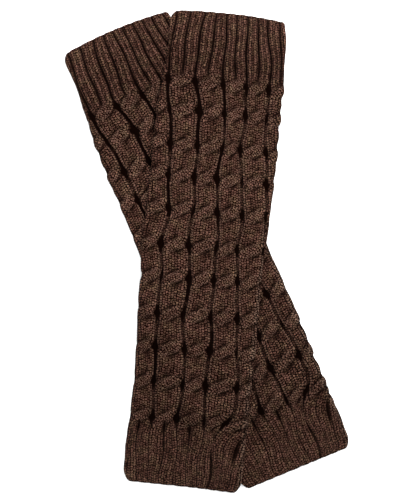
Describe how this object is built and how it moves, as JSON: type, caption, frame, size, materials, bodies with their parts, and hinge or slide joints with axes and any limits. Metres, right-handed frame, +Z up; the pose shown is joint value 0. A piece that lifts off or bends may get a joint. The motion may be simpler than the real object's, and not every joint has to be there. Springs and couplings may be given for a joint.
{
  "type": "pair of leg warmers",
  "caption": "Pair of cable-knit leg warmers with ribbed cuffs, laid flat and crossed, one tube over the other.",
  "frame": {"origin": "on the floor, under the middle of the box round both warmers", "axes": "+Z up from the floor, +Y towards the top cuffs, +X to the right seen from above with the top cuffs away"},
  "size_m": [0.2392, 0.4088, 0.0196],
  "materials": {
    "rib_knit": "matt brown rib knit of soft brushed yarn",
    "cable_knit": "matt dark brown cable knit of soft brushed yarn"
  },
  "bodies": {
    "root": {"under_top_cuff": "rib_knit", "under_cable_leg": "cable_knit", "under_bottom_cuff": "rib_knit", "over_top_cuff": "rib_knit", "over_cable_leg": "cable_knit", "over_bottom_cuff": "rib_knit"}
  },
  "joints": []
}
